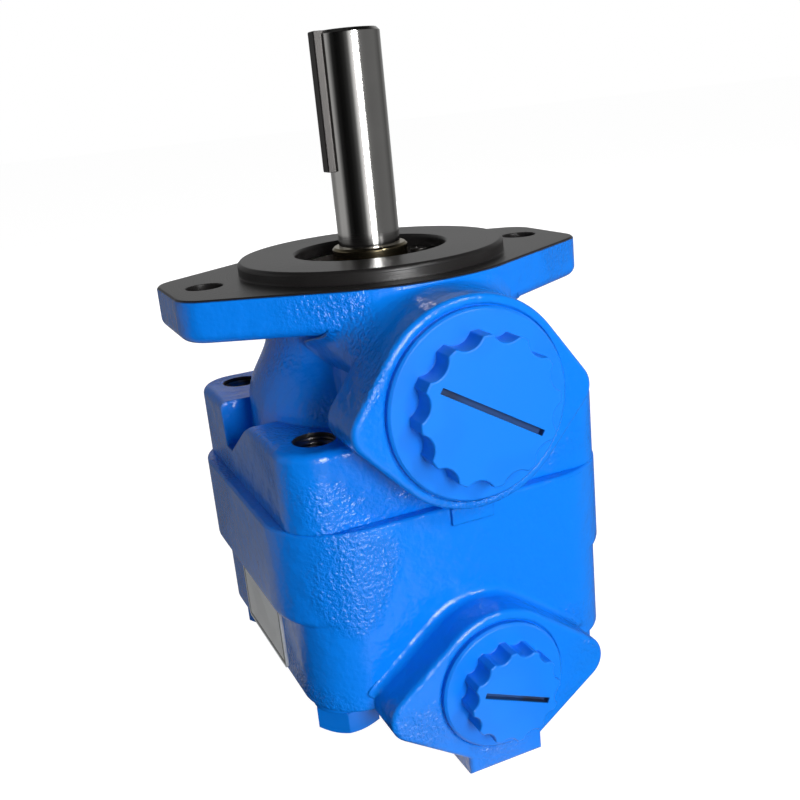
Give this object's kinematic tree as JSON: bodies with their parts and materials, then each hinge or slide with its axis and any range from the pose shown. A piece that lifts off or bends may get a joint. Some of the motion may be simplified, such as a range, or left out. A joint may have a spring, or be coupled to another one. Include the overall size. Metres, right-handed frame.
{
  "type": "hydraulic vane pump",
  "caption": "Flange mounted vane pump: keyed shaft through a pilot and two bolt flange, waisted front casting with inlet boss, square rear casting with outlet boss, plugged ports",
  "frame": {"origin": "centre of the mounting face, where the shaft's axis goes through it", "axes": "+Z out along the shaft, X along the line of the two flange holes, both ports open towards -Y"},
  "size_m": [0.1294, 0.1298, 0.21],
  "materials": {
    "casting_paint": "glossy blue enamel over a slightly rough casting",
    "shaft_steel": "ground and polished",
    "key_steel": "drawn steel, dull",
    "collar_steel": "turned, straw coloured",
    "bearing_steel": "polished bearing steel",
    "cage_steel": "pressed steel",
    "ring_steel": "spring steel with a dark oiled finish",
    "seal_rubber": "smooth black rubber",
    "bush_bronze": "turned bronze",
    "cam_steel": "ground tool steel",
    "rotor_steel": "ground case-hardened steel",
    "vane_steel": "ground high speed steel",
    "plate_iron": "ground cast iron",
    "spring_steel": "oil tempered wire",
    "plug_plastic": "glossy moulded blue plastic",
    "screw_steel": "hexagon head under the same blue enamel",
    "label_metal": "pale lacquered sheet, left blank"
  },
  "bodies": {
    "housing": {"front_body": "casting_paint", "rear_cover": "casting_paint", "cover_seal": "seal_rubber", "bearing_outer_race": "bearing_steel", "bearing_circlip": "ring_steel", "shaft_seal": "seal_rubber", "seal_garter_spring": "spring_steel", "shaft_bush": "bush_bronze", "cam_ring": "cam_steel", "locating_pins": "shaft_steel", "plate_spring": "spring_steel", "cover_screws": "screw_steel", "screw_washers": "screw_steel", "data_plate": "label_metal"},
    "shaft": {"drive_shaft": "shaft_steel", "shaft_key": "key_steel", "shaft_collar": "collar_steel", "bearing_inner_race": "bearing_steel", "rotor": "rotor_steel"},
    "ball_set": {"bearing_cage": "cage_steel", "bearing_balls": "bearing_steel"},
    "plate_set": {"pressure_plate": "plate_iron", "pressure_plate_seal": "seal_rubber"},
    "inlet_stopper": {"inlet_plug": "plug_plastic"},
    "outlet_stopper": {"outlet_plug": "plug_plastic"},
    "vane_01_body": {"vane_01": "vane_steel"},
    "vane_02_body": {"vane_02": "vane_steel"},
    "vane_03_body": {"vane_03": "vane_steel"},
    "vane_04_body": {"vane_04": "vane_steel"},
    "vane_05_body": {"vane_05": "vane_steel"},
    "vane_06_body": {"vane_06": "vane_steel"},
    "vane_07_body": {"vane_07": "vane_steel"},
    "vane_08_body": {"vane_08": "vane_steel"},
    "vane_09_body": {"vane_09": "vane_steel"},
    "vane_10_body": {"vane_10": "vane_steel"},
    "vane_11_body": {"vane_11": "vane_steel"},
    "vane_12_body": {"vane_12": "vane_steel"}
  },
  "joints": [
    {"name": "shaft_turn", "type": "hinge", "parent": "housing", "child": "shaft", "pos_m": [0, 0, -0.0085], "axis": [0, 0, 1], "continuous": true},
    {"name": "ball_set_turn", "type": "hinge", "parent": "housing", "child": "ball_set", "pos_m": [0, 0, -0.0085], "axis": [0, 0, 1], "continuous": true},
    {"name": "plate_float", "type": "slide", "parent": "housing", "child": "plate_set", "axis": [0, 0, -1], "range_m": [0, 0.0005], "stiffness_N_per_m": 10000, "springref_m": -0.003, "deforming": ["plate_spring"]},
    {"name": "inlet_plug_out", "type": "slide", "parent": "housing", "child": "inlet_stopper", "axis": [0, -1, 0], "range_m": [0, 0.03]},
    {"name": "outlet_plug_out", "type": "slide", "parent": "housing", "child": "outlet_stopper", "axis": [0, -1, 0], "range_m": [0, 0.03]},
    {"name": "vane_01_slide", "type": "slide", "parent": "shaft", "child": "vane_01_body", "axis": [1, 0, 0], "range_m": [-0.00075, 0.00005]},
    {"name": "vane_02_slide", "type": "slide", "parent": "shaft", "child": "vane_02_body", "axis": [0.866, 0.5, 0], "range_m": [-0.00075, 0.00024]},
    {"name": "vane_03_slide", "type": "slide", "parent": "shaft", "child": "vane_03_body", "axis": [0.5, 0.866, 0], "range_m": [-0.00075, 0.00024]},
    {"name": "vane_04_slide", "type": "slide", "parent": "shaft", "child": "vane_04_body", "axis": [0, 1, 0], "range_m": [-0.00075, 0.00005]},
    {"name": "vane_05_slide", "type": "slide", "parent": "shaft", "child": "vane_05_body", "axis": [-0.5, 0.866, 0], "range_m": [-0.00075, 0.00024]},
    {"name": "vane_06_slide", "type": "slide", "parent": "shaft", "child": "vane_06_body", "axis": [-0.866, 0.5, 0], "range_m": [-0.00075, 0.00024]},
    {"name": "vane_07_slide", "type": "slide", "parent": "shaft", "child": "vane_07_body", "axis": [-1, 0, 0], "range_m": [-0.00075, 0.00005]},
    {"name": "vane_08_slide", "type": "slide", "parent": "shaft", "child": "vane_08_body", "axis": [-0.866, -0.5, 0], "range_m": [-0.00075, 0.00024]},
    {"name": "vane_09_slide", "type": "slide", "parent": "shaft", "child": "vane_09_body", "axis": [-0.5, -0.866, 0], "range_m": [-0.00075, 0.00024]},
    {"name": "vane_10_slide", "type": "slide", "parent": "shaft", "child": "vane_10_body", "axis": [0, -1, 0], "range_m": [-0.00075, 0.00005]},
    {"name": "vane_11_slide", "type": "slide", "parent": "shaft", "child": "vane_11_body", "axis": [0.5, -0.866, 0], "range_m": [-0.00075, 0.00024]},
    {"name": "vane_12_slide", "type": "slide", "parent": "shaft", "child": "vane_12_body", "axis": [0.866, -0.5, 0], "range_m": [-0.00075, 0.00024]}
  ],
  "couplings": [
    {"joint": "ball_set_turn", "follows": "shaft_turn", "ratio": 0.38152}
  ]
}
